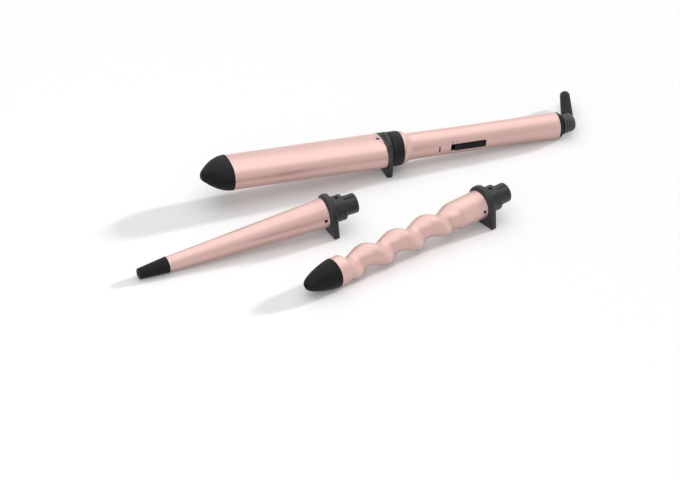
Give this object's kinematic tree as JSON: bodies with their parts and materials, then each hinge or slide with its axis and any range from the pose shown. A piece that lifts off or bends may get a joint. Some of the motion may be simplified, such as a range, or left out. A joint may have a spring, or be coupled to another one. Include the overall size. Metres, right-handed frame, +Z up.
{
  "type": "curling wand",
  "caption": "Hand-held heated curling wand: an oval barrel locked into a tapering grip with a swivelling cord boot, with a conical and a corkscrew barrel that fit the same socket.",
  "frame": {"origin": "middle of the kit's footprint, on the table", "axes": "+X from the barrels' tips towards the cord, along the handle as seen from above; +Z up"},
  "size_m": [0.4308, 0.2156, 0.0379],
  "materials": {
    "pink_metallic": "satin metallic",
    "black_plastic": "fine moulded texture",
    "black_rubber": "matte",
    "steel": "satin",
    "contact_brass": "bright",
    "aluminium": "extruded",
    "ceramic": "stands for fired ceramic",
    "lead_insulation": "silicone sleeve",
    "chassis_plastic": "moulded",
    "circuit_board": "lacquered",
    "component_plastic": "moulded",
    "lamp_lens": "amber, unlit"
  },
  "bodies": {
    "handle": {"handle_sleeve": "pink_metallic", "socket": "black_plastic", "ring_clip": "steel", "contact_sleeves": "contact_brass", "chassis_front": "chassis_plastic", "chassis_back": "chassis_plastic", "chassis_screws": "steel", "control_board": "circuit_board", "board_components": "component_plastic", "switch_housing": "component_plastic", "indicator_led": "lamp_lens", "indicator_lens": "lamp_lens", "handle_wires": "lead_insulation", "brush_holder": "chassis_plastic", "brushes": "contact_brass", "brush_leads": "lead_insulation", "end_cap": "black_plastic", "swivel_bush": "contact_brass"},
    "oval_barrel": {"oval_tube": "pink_metallic", "oval_tip": "black_plastic", "oval_base": "black_plastic", "oval_base_screw": "steel", "oval_heater": "ceramic", "oval_heat_spreaders": "aluminium", "oval_tip_anchor": "aluminium", "oval_tip_screw": "steel", "oval_leads": "lead_insulation", "oval_thermal_fuse": "steel", "oval_contact_pins": "contact_brass"},
    "lock_ring": {"lock_ring": "black_plastic"},
    "latch": {"latch_pin": "steel"},
    "switch": {"switch_knob": "black_plastic"},
    "swivel": {"swivel_elbow": "black_plastic", "slip_rings": "contact_brass", "swivel_clip": "steel", "strain_relief": "black_rubber"},
    "cone_barrel": {"cone_tube": "pink_metallic", "cone_tip": "black_plastic", "cone_base": "black_plastic", "cone_base_screw": "steel", "cone_heater": "ceramic", "cone_heat_spreaders": "aluminium", "cone_tip_anchor": "aluminium", "cone_tip_screw": "steel", "cone_leads": "lead_insulation", "cone_thermal_fuse": "steel", "cone_contact_pins": "contact_brass"},
    "spiral_barrel": {"spiral_tube": "pink_metallic", "spiral_tip": "black_plastic", "spiral_base": "black_plastic", "spiral_base_screw": "steel", "spiral_heater": "ceramic", "spiral_heat_spreaders": "aluminium", "spiral_tip_anchor": "aluminium", "spiral_tip_screw": "steel", "spiral_leads": "lead_insulation", "spiral_thermal_fuse": "steel", "spiral_contact_pins": "contact_brass"}
  },
  "joints": [
    {"name": "barrel_pull", "type": "slide", "parent": "handle", "child": "oval_barrel", "axis": [-0.9988, 0, 0.049], "range_m": [0, 0.045]},
    {"name": "ring_twist", "type": "hinge", "parent": "handle", "child": "lock_ring", "pos_m": [0.03714, 0.05968, 0.01857], "axis": [0.9988, 0, -0.049], "range_deg": [0, 40]},
    {"name": "latch_travel", "type": "slide", "parent": "handle", "child": "latch", "axis": [-0.0489, 0.0698, -0.9964], "range_m": [0, 0.0012]},
    {"name": "switch_slide", "type": "slide", "parent": "handle", "child": "switch", "axis": [-0.9988, 0, 0.049], "range_m": [0, 0.0032]},
    {"name": "cord_swivel", "type": "hinge", "parent": "handle", "child": "swivel", "pos_m": [0.19475, 0.05968, 0.01083], "axis": [0.9988, 0, -0.049], "continuous": true},
    {"name": "cone_lift", "type": "slide", "parent": "handle", "child": "cone_barrel", "axis": [0, 0, 1], "range_m": [0, 0.12]},
    {"name": "spiral_lift", "type": "slide", "parent": "handle", "child": "spiral_barrel", "axis": [0, 0, 1], "range_m": [0, 0.12]}
  ],
  "couplings": [
    {"joint": "latch_travel", "follows": "ring_twist", "m_per_rad": 0.0017189}
  ]
}
